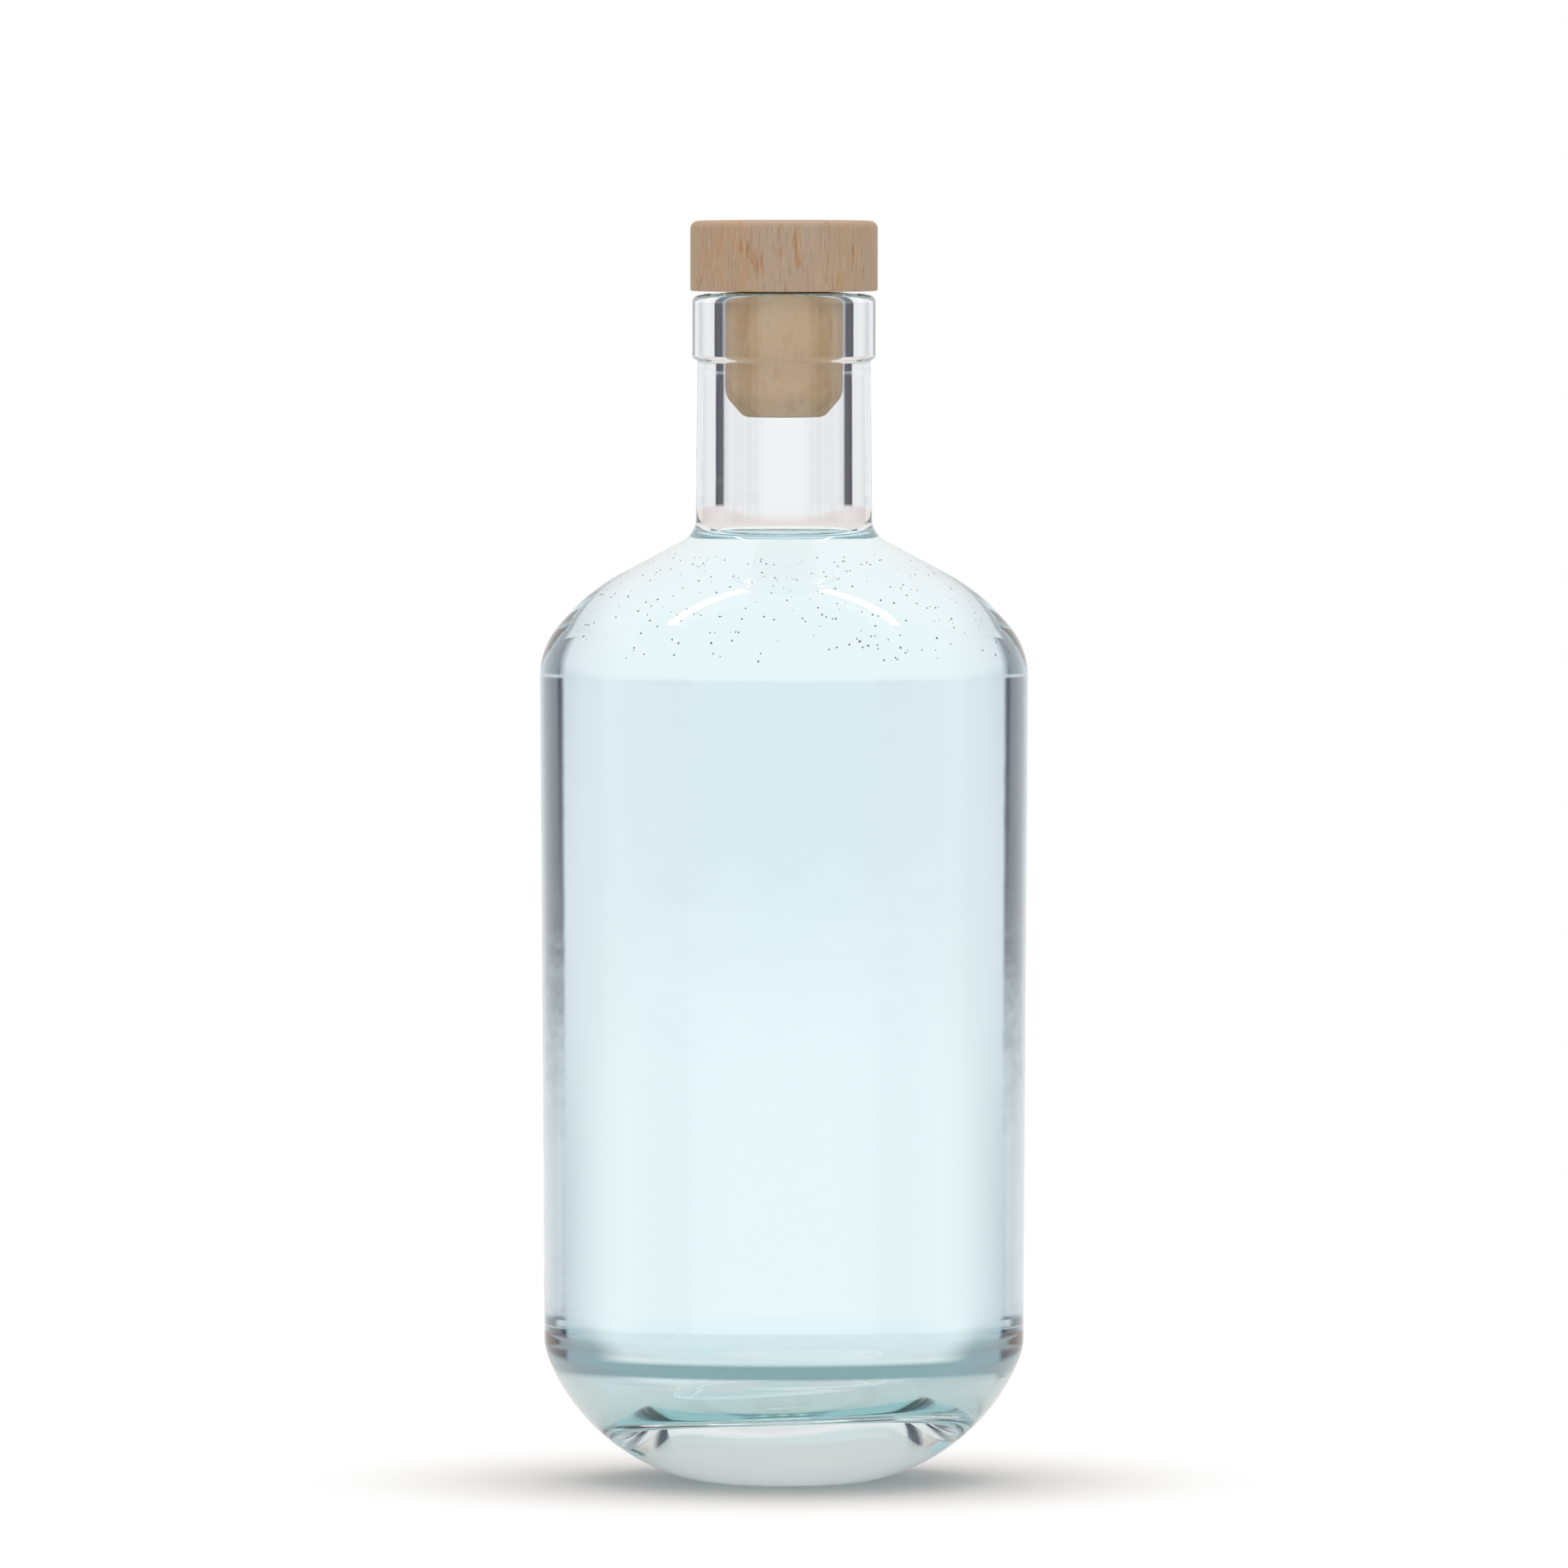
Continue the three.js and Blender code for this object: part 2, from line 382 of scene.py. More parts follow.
# %% Outside fillets
PUSH_UP_FILLET = 9 * MM
SHOULDER_FILLET = 12.5 * MM
BREAK_FILLET = 32 * MM
NECK_FOOT_FILLET = 4 * MM
UNDER_FINISH_FILLET = 0.4 * MM
FINISH_FOOT_RISE = 0.6 * MM
FINISH_FOOT_FILLET = 0.9 * MM
LIP_OUTER_FILLET = 1.2 * MM
LIP_CROWN_FILLET = 3 * MM
LIP_INNER_FILLET = 0.9 * MM
print("the shoulder is rounded by", round(BREAK_FILLET / MM), "mm")

# %% [markdown]
# ### The whole section
# The pen starts under the foot and ends in the middle of the floor, and one spin makes the glass.

# %% Draw the bottle
put_pen(0, PUSH_UP_HEIGHT)
pen = draw_on(
    [
        corner(PUSH_UP_CROWN, PUSH_UP_HEIGHT, PUSH_UP_FILLET),
        corner(BEARING_RADIUS - BEARING_WIDTH, 0),
        corner(BEARING_RADIUS, 0),
    ],
    Vector((0, PUSH_UP_HEIGHT)),
)
pen = draw_heel(pen)
outside_corners = [
    (body_foot, HEEL_EDGE_FILLET),
    (body_top, SHOULDER_FILLET),
    (shoulder_break, BREAK_FILLET),
    (neck_foot, NECK_FOOT_FILLET),
    *mould_joint(MOULD_JOINT_HEIGHT),
    corner(NECK_TOP_RADIUS, NECK_TOP, UNDER_FINISH_FILLET),
    corner(FINISH_RADIUS, NECK_TOP + FINISH_FOOT_RISE, FINISH_FOOT_FILLET),
    corner(FINISH_RADIUS, LIP_TOP - LIP_CROWN, LIP_OUTER_FILLET),
    corner((BORE_RADIUS + FINISH_RADIUS) / 2, LIP_TOP, LIP_CROWN_FILLET),
    corner(BORE_RADIUS, LIP_TOP - LIP_CROWN / 2, LIP_INNER_FILLET),
]
inside_corners = list(reversed(cavity_corners(0)))[1:]
draw_on(outside_corners + inside_corners, pen)
bottle_glass = turn_section("bottle_glass")
lean_floor(bottle_glass)

# %% [markdown]
# ## Where the liquid wets the glass
# Light bends by the ratio of the two materials on either side of a face. Dry glass meets air, so its
# index is its own. Below the fill line the inner face meets liquid, and there the ratio is that of glass
# to liquid. Overlapping the two meshes is the usual trick, but it blurs where one ends and the other
# begins. Marking the wetted faces, and letting the mark choose the index, is exact and leaves both meshes
# clean. It is a mark and not a second material, because light has to leave a body by the same material
# that it came in by, or the body's colour leaks out. A bisect at the line where the liquid ends gives the
# marked faces a sharp border.

# %% Fill line
FILL_DROP = 1.7 * MM
FILL_LEVEL = NECK_FOOT - FILL_DROP
MENISCUS_RISE = 1.3 * MM
MENISCUS_WIDTH = 2.4 * MM
CONTACT_LINE = FILL_LEVEL + MENISCUS_RISE
LIQUID_CLEARANCE = 0.05 * MM
GLASS_INDEX = 1.52
LIQUID_INDEX = 1.36


def is_wetted(face):
    inwards = -(face.normal.x * face.center.x + face.normal.y * face.center.y)
    if face.center.z < HEEL_HEIGHT:
        return face.normal.z > 0
    return face.center.z < CONTACT_LINE and inwards > 0


bpy.ops.object.mode_set(mode="EDIT")
bpy.ops.mesh.select_all(action="SELECT")
bpy.ops.mesh.bisect(plane_co=(0, 0, CONTACT_LINE), plane_no=(0, 0, 1))
bpy.ops.object.mode_set(mode="OBJECT")
print("the liquid wets the glass up to", round(CONTACT_LINE / MM, 1), "mm")

# %% [markdown]
# ## The liquid
# It is drawn on the same cavity corners, a hair's breadth inside the glass, and cut off where it creeps
# up the wall. From there the meniscus falls away in a few short legs to the level surface.

# %% Draw the liquid
MENISCUS_STEPS = 12


def cut_outline_above(height):
    bpy.ops.mesh.select_all(action="SELECT")
    bpy.ops.mesh.bisect(plane_co=(0, 0, height), plane_no=(0, 0, 1), clear_outer=True)


def pen_at_top():
    """Takes up the pen at the highest vertex of the outline in hand."""
    bpy.ops.mesh.select_all(action="DESELECT")
    bpy.ops.object.mode_set(mode="OBJECT")
    highest = max(bpy.context.object.data.vertices, key=lambda vertex: vertex.co.z)
    highest.select = True
    place = Vector((highest.co.x, highest.co.z))
    bpy.ops.object.mode_set(mode="EDIT")
    return place


def meniscus(rim):
    for i in range(1, MENISCUS_STEPS + 1):
        share = i / MENISCUS_STEPS
        yield corner(rim.x - MENISCUS_WIDTH * share, FILL_LEVEL + MENISCUS_RISE * (1 - share) ** 2)


liquid_corners = cavity_corners(LIQUID_CLEARANCE)
floor_middle = liquid_corners[0][0]
put_pen(floor_middle.x, floor_middle.y)
draw_on(liquid_corners[1:], floor_middle)
cut_outline_above(CONTACT_LINE)
rim = pen_at_top()
draw_on([*meniscus(rim), corner(0, FILL_LEVEL)], rim)
liquid_fill = turn_section("liquid_fill")
lean_floor(liquid_fill)

# %% [markdown]
# ## Air bubbles
# When a bottle has been filled and turned over, tiny air bubbles stay under the shoulder. They cling to
# the glass from below, each as dark as a pinhead, partly because its skin throws the light back and partly
# from a dark grey painted on it. Each one is an icosphere of two subdivisions: at a fifth of a millimetre
# it has to be round, but nobody will count its facets. The mesh of the liquid is asked for the nearest
# wall, so that each bubble hangs just under it.

# %% Hang the bubbles
BUBBLE_COUNT = 620
BUBBLE_RADII = (0.08 * MM, 0.19 * MM)
BUBBLE_SEED = 7
BUBBLE_DEPTH = 5 * MM
BUBBLE_REACH = 1.1
NECK_MARGIN = 2 * MM
SIDE_MARGIN = 3.3 * MM
INNER_BUBBLE = NECK_FOOT_RADIUS + NECK_MARGIN
OUTER_BUBBLE = BODY_TOP_RADIUS - SIDE_MARGIN


def under_shoulder(chance):
    """A spot well under the shoulder, at a chance compass angle and distance from the axis."""
    radius = math.sqrt(chance.uniform(INNER_BUBBLE ** 2, OUTER_BUBBLE ** 2))
    height = BREAK_HEIGHT + (BREAK_RADIUS - radius) * math.tan(SLOPE_ANGLE)
    if radius > BREAK_RADIUS:
        height = BODY_TOP + (BODY_TOP_RADIUS - radius) * math.tan(STEEP_ANGLE)
    compass = chance.uniform(0, 2 * math.pi)
    return Vector((radius * math.cos(compass), radius * math.sin(compass), height - BUBBLE_DEPTH))


def hang_bubbles(name, chance):
    bpy.ops.object.select_all(action="DESELECT")
    for i in range(BUBBLE_COUNT):
        size = chance.uniform(*BUBBLE_RADII)
        _, wall, normal, _ = liquid_fill.closest_point_on_mesh(under_shoulder(chance))
        spot = wall - normal * size * BUBBLE_REACH
        if i == 0:
            bpy.ops.mesh.primitive_ico_sphere_add(subdivisions=2, radius=size, location=(0, 0, 0))
            bpy.ops.object.mode_set(mode="EDIT")
            bpy.ops.transform.translate(value=spot)
        else:
            bpy.ops.mesh.primitive_ico_sphere_add(subdivisions=2, radius=size, location=spot)
    bpy.ops.object.mode_set(mode="OBJECT")
    piece = bpy.context.object
    piece.name = name
    piece.data.name = name
    bpy.ops.object.shade_smooth()
    print(name, "has", BUBBLE_COUNT, "bubbles and", len(piece.data.polygons), "faces")
    return piece


shoulder_bubbles = hang_bubbles("shoulder_bubbles", random.Random(BUBBLE_SEED))

# %% [markdown]
# ## The stopper
# The head is a plain disc, turned on the end grain, with its upper edge rounded over. The shank is a
# moulded plug with a chamfer that leads it into the bore. Both are drawn and turned as the glass was.

# %% Draw the stopper
HEAD_RADIUS = 15 * MM
HEAD_HEIGHT = 11.2 * MM
HEAD_SEAT_GAP = 0.4 * MM
HEAD_TOP_FILLET = 1.3 * MM
HEAD_FOOT_FILLET = 0.3 * MM
GLUE_GAP = 0.3 * MM
SHANK_CLEARANCE = 0.3 * MM
SHANK_LENGTH = 19.9 * MM
SHANK_CHAMFER_WIDTH = 3 * MM
SHANK_CHAMFER_LENGTH = 3.5 * MM
SHANK_TIP_FILLET = 2 * MM
SHANK_SIDE_FILLET = 4 * MM

head_foot = LIP_TOP + HEAD_SEAT_GAP
head_top = head_foot + HEAD_HEIGHT
put_pen(0, head_foot)
draw_on(
    [
        corner(HEAD_RADIUS, head_foot, HEAD_FOOT_FILLET),
        corner(HEAD_RADIUS, head_top, HEAD_TOP_FILLET),
        corner(0, head_top),
    ],
    Vector((0, head_foot)),
)
stopper_wood = turn_section("stopper_wood")

shank_radius = BORE_RADIUS - SHANK_CLEARANCE
shank_top = head_foot - GLUE_GAP
shank_foot = shank_top - SHANK_LENGTH
put_pen(0, shank_foot)
draw_on(
    [
        corner(shank_radius - SHANK_CHAMFER_WIDTH, shank_foot, SHANK_TIP_FILLET),
        corner(shank_radius, shank_foot + SHANK_CHAMFER_LENGTH, SHANK_SIDE_FILLET),
        corner(shank_radius, shank_top),
        corner(0, shank_top),
    ],
    Vector((0, shank_foot)),
)
stopper_plug = turn_section("stopper_plug")

# %% [markdown]
# ## Materials
# Each material starts from the Principled shader, with plain numbers on its own sockets.

# %% A material to build on
def new_material(name):
    material = bpy.data.materials.new(name)
    material.use_nodes = True
    nodes = material.node_tree.nodes
    return material, nodes, material.node_tree.links, nodes["Principled BSDF"]


def place(nodes, kind, **settings):
    node = nodes.new(kind)
    for name, value in settings.items():
        setattr(node, name, value)
    return node


def share_between(nodes, start, end, **settings):
    """A map range from nought to one as its value goes from the start to the end."""
    node = place(nodes, "ShaderNodeMapRange", **settings)
    node.inputs["From Min"].default_value = start
    node.inputs["From Max"].default_value = end
    return node


def dress(piece, material):
    piece.data.materials.append(material)
    print(piece.name, "is dressed in", material.name)


def group_of(name, inputs, outputs):
    """A node group with its sockets, and its two end nodes."""
    group = bpy.data.node_groups.new(name, "ShaderNodeTree")
    for kind, sockets in [("INPUT", inputs), ("OUTPUT", outputs)]:
        for socket, socket_type in sockets:
            group.interface.new_socket(name=socket, in_out=kind, socket_type=socket_type)
    return group, group.nodes.new("NodeGroupInput"), group.nodes.new("NodeGroupOutput")


# %% [markdown]
# ### A skin that was hot
# Blown glass is never as flat as a ground lens. Waves of a few millimetres, with next to no height, are
# enough to make a reflection swim a little.

# %% Uneven skin
WAVE_SCALE = 130
WAVE_DETAIL = 2
WAVE_HEIGHT = 0.015 * MM


def uneven_skin():
    """Slow waves of a surface that was hot and soft, as a normal."""
    group, given, made = group_of(
        "uneven_skin",
        [("Scale", "NodeSocketFloat"), ("Height", "NodeSocketFloat")],
        [("Normal", "NodeSocketVector")],
    )
    nodes, links = group.nodes, group.links
    place_on = nodes.new("ShaderNodeTexCoord")
    waves = nodes.new("ShaderNodeTexNoise")
    waves.inputs["Detail"].default_value = WAVE_DETAIL
    bump = nodes.new("ShaderNodeBump")
    bump.inputs["Strength"].default_value = 1.0
    links.new(place_on.outputs["Object"], waves.inputs["Vector"])
    links.new(given.outputs["Scale"], waves.inputs["Scale"])
    links.new(waves.outputs["Fac"], bump.inputs["Height"])
    links.new(given.outputs["Height"], bump.inputs["Distance"])
    links.new(bump.outputs["Normal"], made.inputs["Normal"])
    return group


SKIN = uneven_skin()
print(SKIN.name, "has", len(SKIN.nodes), "nodes")


# %% [markdown]
# ### A clear body
# Glass and liquid are made alike: a clear shader for the dry faces, a second one where a mark on the
# faces asks for it, and one colour that fills the body.

# %% Clear body and marks
def clear_body(name, index, mask, masked_index, tint, density):
    """A clear material with a second index where the mask attribute is one, and one colour all through."""
    material, nodes, links, shader = new_material(name)
    other = place(nodes, "ShaderNodeBsdfPrincipled", label="masked")
    for surface, its_index in [(shader, index), (other, masked_index)]:
        surface.inputs["Base Color"].default_value = (1, 1, 1, 1)
        surface.inputs["Roughness"].default_value = 0.0
        surface.inputs["IOR"].default_value = its_index
        surface.inputs["Transmission Weight"].default_value = 1.0
    skin = place(nodes, "ShaderNodeGroup", node_tree=SKIN)
    skin.inputs["Scale"].default_value = WAVE_SCALE
    skin.inputs["Height"].default_value = WAVE_HEIGHT
    links.new(skin.outputs["Normal"], shader.inputs["Normal"])
    share = place(nodes, "ShaderNodeAttribute", attribute_name=mask)
    mix = nodes.new("ShaderNodeMixShader")
    links.new(share.outputs["Fac"], mix.inputs["Fac"])
    links.new(shader.outputs["BSDF"], mix.inputs[1])
    links.new(other.outputs["BSDF"], mix.inputs[2])
    absorption = nodes.new("ShaderNodeVolumeAbsorption")
    absorption.inputs["Color"].default_value = (*tint, 1)
    absorption.inputs["Density"].default_value = density
    links.new(mix.outputs["Shader"], nodes["Material Output"].inputs["Surface"])
    links.new(absorption.outputs["Volume"], nodes["Material Output"].inputs["Volume"])
    return material


def mark_faces(piece, name, is_marked):
    """Stores a one on each face that passes the test, and a nought on the others."""
    mask = piece.data.attributes.new(name=name, type="FLOAT", domain="FACE")
    for face in piece.data.polygons:
        mask.data[face.index].value = 1.0 if is_marked(face) else 0.0
    print(piece.name, "has", sum(round(item.value) for item in mask.data), "faces marked", name)


# %% [markdown]
# ### Clear glass
# Clear glass is never quite colourless: the long way through the foot shows a trace of green and blue.
# Volume Absorption gives that trace by length, which a colour on the skin couldn't.

# %% Clear glass
GLASS_TINT = (0.45, 0.80, 0.82)
GLASS_DENSITY = 2.0

mark_faces(bottle_glass, "wetted", is_wetted)
glass = clear_body(
    "clear_glass", GLASS_INDEX, "wetted", GLASS_INDEX / LIQUID_INDEX, GLASS_TINT, GLASS_DENSITY,
)
dress(bottle_glass, glass)

# %% [markdown]
# ### The green of the thick foot, and its painted light and shade
# Where the wall runs into the foot, the glass is several times as thick, and light that is caught between
# its faces comes out sea-green. That look is painted on the wetted faces as colour ramps by height: aqua
# low down, a pale stripe of painted light, and one narrow dark band of painted shade where the near wall
# turns into the foot. The band belongs to the wall that the light leaves the bottle by, so it is mixed in
# only on the backs of the faces, and only outside the inner dome. Towards the bottle's sides the light
# crosses that wall at a slant and goes a longer way in it, so there the painted shade widens to a slate
# wedge, mixed in by how far the face turns from the camera.

# %% Sea-green foot and painted shade
# The aqua is painted on by height, for the light caught in the thick foot.
FOOT_LOW, FOOT_HIGH = 8 * MM, 28 * MM
FOOT_STOPS = [(9 * MM, (0.66, 0.86, 0.87)), (15 * MM, (0.66, 0.86, 0.87)), (26 * MM, (1, 1, 1))]
BAND_BOTTOM, BAND_TOP = 19.2 * MM, 20.9 * MM
# Painted light and shade: a pale painted stripe above the aqua, then a narrow dark band of painted shade.
PAINTED_BAND_STOPS = [
    (16.4 * MM, (0.66, 0.87, 0.88)),
    (17.2 * MM, (0.90, 0.96, 0.96)),
    (18.7 * MM, (0.90, 0.96, 0.96)),
    (BAND_BOTTOM, (0.10, 0.22, 0.23)),
    (BAND_TOP, (0.10, 0.22, 0.23)),
    (21.5 * MM, (0.95, 0.98, 0.98)),
]
# Painted shade: the slate wedge that the dark band widens to at the bottle's sides.
PAINTED_SHADE_WEDGE_STOPS = [
    (16.4 * MM, (0.66, 0.87, 0.88)),
    (18.2 * MM, (0.62, 0.76, 0.78)),
    (BAND_BOTTOM, (0.12, 0.22, 0.26)),
    (21.5 * MM, (0.12, 0.22, 0.26)),
    (24 * MM, (0.32, 0.44, 0.50)),
    (27.5 * MM, (1, 1, 1)),
]
WEDGE_FROM = 0.13
WEDGE_TO = 0.20
BAND_FROM = 25 * MM
BAND_TO = 27 * MM


def set_stops(node, stops, low, high):
    """Gives a colour ramp its stops, whose places run from low to high."""
    elements = node.color_ramp.elements
    while len(elements) < len(stops):
        elements.new(0.5)
    for element, (place_at, colour) in zip(elements, stops):
        element.position = (place_at - low) / (high - low)
        element.color = (*colour, 1)


def foot_tint_and_painted_shade():
    """Painted colours by height for the foot's tint, the shade band and the shade wedges, and a mask for
    what lies near the wall.
    """
    group, _, made = group_of(
        "foot_tint_and_painted_shade", [],
        [("Foot", "NodeSocketColor"), ("Band", "NodeSocketColor"), ("Wedge", "NodeSocketColor"),
         ("Near wall", "NodeSocketFloat")],
    )
    nodes, links = group.nodes, group.links
    place_on = nodes.new("ShaderNodeTexCoord")
    parts = nodes.new("ShaderNodeSeparateXYZ")
    share = share_between(nodes, FOOT_LOW, FOOT_HIGH)
    links.new(place_on.outputs["Object"], parts.inputs["Vector"])
    links.new(parts.outputs["Z"], share.inputs["Value"])
    for socket, stops in [("Foot", FOOT_STOPS), ("Band", PAINTED_BAND_STOPS), ("Wedge", PAINTED_SHADE_WEDGE_STOPS)]:
        ramp = nodes.new("ShaderNodeValToRGB")
        set_stops(ramp, stops, FOOT_LOW, FOOT_HIGH)
        links.new(share.outputs["Result"], ramp.inputs["Fac"])
        links.new(ramp.outputs["Color"], made.inputs[socket])
    flat = nodes.new("ShaderNodeCombineXYZ")
    radius = place(nodes, "ShaderNodeVectorMath", operation="LENGTH")
    outside = share_between(nodes, BAND_FROM, BAND_TO)
    links.new(parts.outputs["X"], flat.inputs["X"])
    links.new(parts.outputs["Y"], flat.inputs["Y"])
    links.new(flat.outputs["Vector"], radius.inputs[0])
    links.new(radius.outputs["Value"], outside.inputs["Value"])
    links.new(outside.outputs["Result"], made.inputs["Near wall"])
    return group


# Paints the aqua tint, the pale stripe and the dark shade band into the wetted glass's colour, and widens
# the shade to a wedge where the face turns from the camera.
def paint_foot_tint_and_shade(material):
    nodes, links = material.node_tree.nodes, material.node_tree.links
    wetted_shader = next(node for node in nodes if node.label == "masked")
    tints = place(nodes, "ShaderNodeGroup", node_tree=foot_tint_and_painted_shade())
    side = nodes.new("ShaderNodeNewGeometry")
    share = place(nodes, "ShaderNodeMath", operation="MULTIPLY")
    tint = place(nodes, "ShaderNodeMix", data_type="RGBA")
    slant = nodes.new("ShaderNodeLayerWeight")
    slanted = share_between(nodes, WEDGE_FROM, WEDGE_TO, interpolation_type="SMOOTHSTEP")
    near_wall = place(nodes, "ShaderNodeMix", data_type="RGBA")
    links.new(slant.outputs["Facing"], slanted.inputs["Value"])
    links.new(slanted.outputs["Result"], near_wall.inputs["Factor"])
    links.new(tints.outputs["Band"], near_wall.inputs["A"])
    links.new(tints.outputs["Wedge"], near_wall.inputs["B"])
    links.new(side.outputs["Backfacing"], share.inputs[0])
    links.new(tints.outputs["Near wall"], share.inputs[1])
    links.new(share.outputs["Value"], tint.inputs["Factor"])
    links.new(tints.outputs["Foot"], tint.inputs["A"])
    links.new(near_wall.outputs["Result"], tint.inputs["B"])
    links.new(tint.outputs["Result"], wetted_shader.inputs["Base Color"])


paint_foot_tint_and_shade(glass)
print("the dark band lies from", round(BAND_BOTTOM / MM, 1), "to", round(BAND_TOP / MM, 1), "mm")

# %% [markdown]
# ### Pale blue liquid
# Its side lies against wetted glass, whose index has done the bending, so that side has an index of one,
# and only the free surface bends light. The colour comes by length again, so the middle of the bottle is
# the bluest.

# %% Pale blue liquid
LIQUID_TINT = (0.13, 0.75, 0.883)
LIQUID_DENSITY = 3.0
LEVEL_SLACK = 0.01 * MM
FACES_UP = 0.3


def is_surface(face):
    return face.center.z > FILL_LEVEL - LEVEL_SLACK and face.normal.z > FACES_UP


mark_faces(liquid_fill, "surface", is_surface)
liquid = clear_body("blue_liquid", 1.0, "surface", LIQUID_INDEX, LIQUID_TINT, LIQUID_DENSITY)
dress(liquid_fill, liquid)

# %% [markdown]
# ### Air
# A bubble is the liquid's opposite: light comes from the denser side, so its index is one over the
# liquid's. Each bubble is painted a dark grey, as painted shade on what shows through it, and the grey
# varies by chance from one to the next, which keeps them from looking all alike.

# %% Air bubbles
BUBBLE_SHADE_SCALE = 300
BUBBLE_SHADE_PALEST = 0.3


def air():
    material, nodes, links, shader = new_material("air_bubble")
    place_on = nodes.new("ShaderNodeTexCoord")
    chance = nodes.new("ShaderNodeTexNoise")
    chance.inputs["Scale"].default_value = BUBBLE_SHADE_SCALE
    # Painted shade: a dark grey from nought up to the palest level darkens what shows through each bubble.
    grey = nodes.new("ShaderNodeMapRange")
    grey.inputs["To Min"].default_value = 0.0
    grey.inputs["To Max"].default_value = BUBBLE_SHADE_PALEST
    links.new(place_on.outputs["Object"], chance.inputs["Vector"])
    links.new(chance.outputs["Fac"], grey.inputs["Value"])
    links.new(grey.outputs["Result"], shader.inputs["Base Color"])
    shader.inputs["Roughness"].default_value = 0.0
    shader.inputs["IOR"].default_value = 1 / LIQUID_INDEX
    shader.inputs["Transmission Weight"].default_value = 1.0
    return material


dress(shoulder_bubbles, air())

# %% [markdown]
# ### Beech
# The head is turned from beech with the grain upright. Beech shows three things: a pale ground that
# drifts from orange to a greyer pink, fine upright fibres, and short darker flecks where the turning cuts
# across the rays. Each is one or two noises, stretched upright by their own amounts, and a mask says how
# much of a colour is mixed in.

# %% Upright streaks
def streaks():
    """A noise stretched upright, cut to a mask between two levels."""
    group, given, made = group_of(
        "streaks",
        [("Scale", "NodeSocketFloat"), ("Upright", "NodeSocketFloat"), ("From", "NodeSocketFloat"),
         ("To", "NodeSocketFloat"), ("Detail", "NodeSocketFloat")],
        [("Mask", "NodeSocketFloat")],
    )
    nodes, links = group.nodes, group.links
    place_on = nodes.new("ShaderNodeTexCoord")
    stretch = nodes.new("ShaderNodeCombineXYZ")
    stretch.inputs["X"].default_value = 1
    stretch.inputs["Y"].default_value = 1
    flat = place(nodes, "ShaderNodeVectorMath", operation="MULTIPLY")
    noise = nodes.new("ShaderNodeTexNoise")
    level = nodes.new("ShaderNodeMapRange")
    links.new(place_on.outputs["Object"], flat.inputs[0])
    links.new(given.outputs["Upright"], stretch.inputs["Z"])
    links.new(stretch.outputs["Vector"], flat.inputs[1])
    links.new(flat.outputs["Vector"], noise.inputs["Vector"])
    links.new(given.outputs["Scale"], noise.inputs["Scale"])
    links.new(given.outputs["Detail"], noise.inputs["Detail"])
    links.new(noise.outputs["Fac"], level.inputs["Value"])
    links.new(given.outputs["From"], level.inputs["From Min"])
    links.new(given.outputs["To"], level.inputs["From Max"])
    links.new(level.outputs["Result"], made.inputs["Mask"])
    return group


STREAKS = streaks()
print(STREAKS.name, "has", len(STREAKS.nodes), "nodes")

# %% [markdown]
# ### Layers of colour
# A layer is written as its colour, its scale, its upright stretch, the two levels that its mask runs
# between, and its detail. The smaller the stretch, the longer the streaks.


# %% Layer on layer
def streak_mask(nodes, scale, upright, low, high, detail):
    mask = place(nodes, "ShaderNodeGroup", node_tree=STREAKS)
    settings = {"Scale": scale, "Upright": upright, "From": low, "To": high, "Detail": detail}
    for socket, value in settings.items():
        mask.inputs[socket].default_value = value
    return mask.outputs["Mask"]


def layered(nodes, links, ground, layers):
    """Mixes each layer's colour over what is below it, where its streaks are, and returns the result."""
    below = None
    for colour, *streak in layers.values():
        mask = streak_mask(nodes, *streak)
        mix = place(nodes, "ShaderNodeMix", data_type="RGBA")
        mix.inputs["A"].default_value = (*ground, 1)
        mix.inputs["B"].default_value = (*colour, 1)
        links.new(mask, mix.inputs["Factor"])
        if below:
            links.new(below, mix.inputs["A"])
        below = mix.outputs["Result"]
    return below


# %% Turned beech
BEECH_GROUND = (0.53, 0.375, 0.24)
BEECH_LAYERS = {
    "greyer drift": ((0.52, 0.40, 0.30), 55, 0.6, 0.42, 0.62, 3.0),
    "orange drift": ((0.56, 0.355, 0.20), 130, 0.35, 0.48, 0.68, 3.0),
    "pale fibres": ((0.60, 0.44, 0.30), 3400, 0.10, 0.50, 0.66, 2.0),
    "dark fibres": ((0.43, 0.30, 0.19), 2600, 0.08, 0.55, 0.72, 2.0),
    "ray flecks": ((0.47, 0.22, 0.085), 800, 0.2, 0.61, 0.74, 2.0),
}
GRAIN_STREAKS = (2600, 0.06, 0.3, 0.7, 2)
GRAIN_STRENGTH = 0.5
GRAIN_DEPTH = 0.03 * MM


def beech():
    material, nodes, links, shader = new_material("turned_beech")
    links.new(layered(nodes, links, BEECH_GROUND, BEECH_LAYERS), shader.inputs["Base Color"])
    shader.inputs["Roughness"].default_value = 0.62
    grain = streak_mask(nodes, *GRAIN_STREAKS)
    bump = nodes.new("ShaderNodeBump")
    bump.inputs["Strength"].default_value = GRAIN_STRENGTH
    bump.inputs["Distance"].default_value = GRAIN_DEPTH
    links.new(grain, bump.inputs["Height"])
    links.new(bump.outputs["Normal"], shader.inputs["Normal"])
    return material


dress(stopper_wood, beech())

# %% [markdown]
# ### Moulded cork
# The shank is foamed plastic in the colour of cork. It is smoother than cork and has no pores to speak
# of, only a soft mottle and fine darker specks, so three layers are enough.

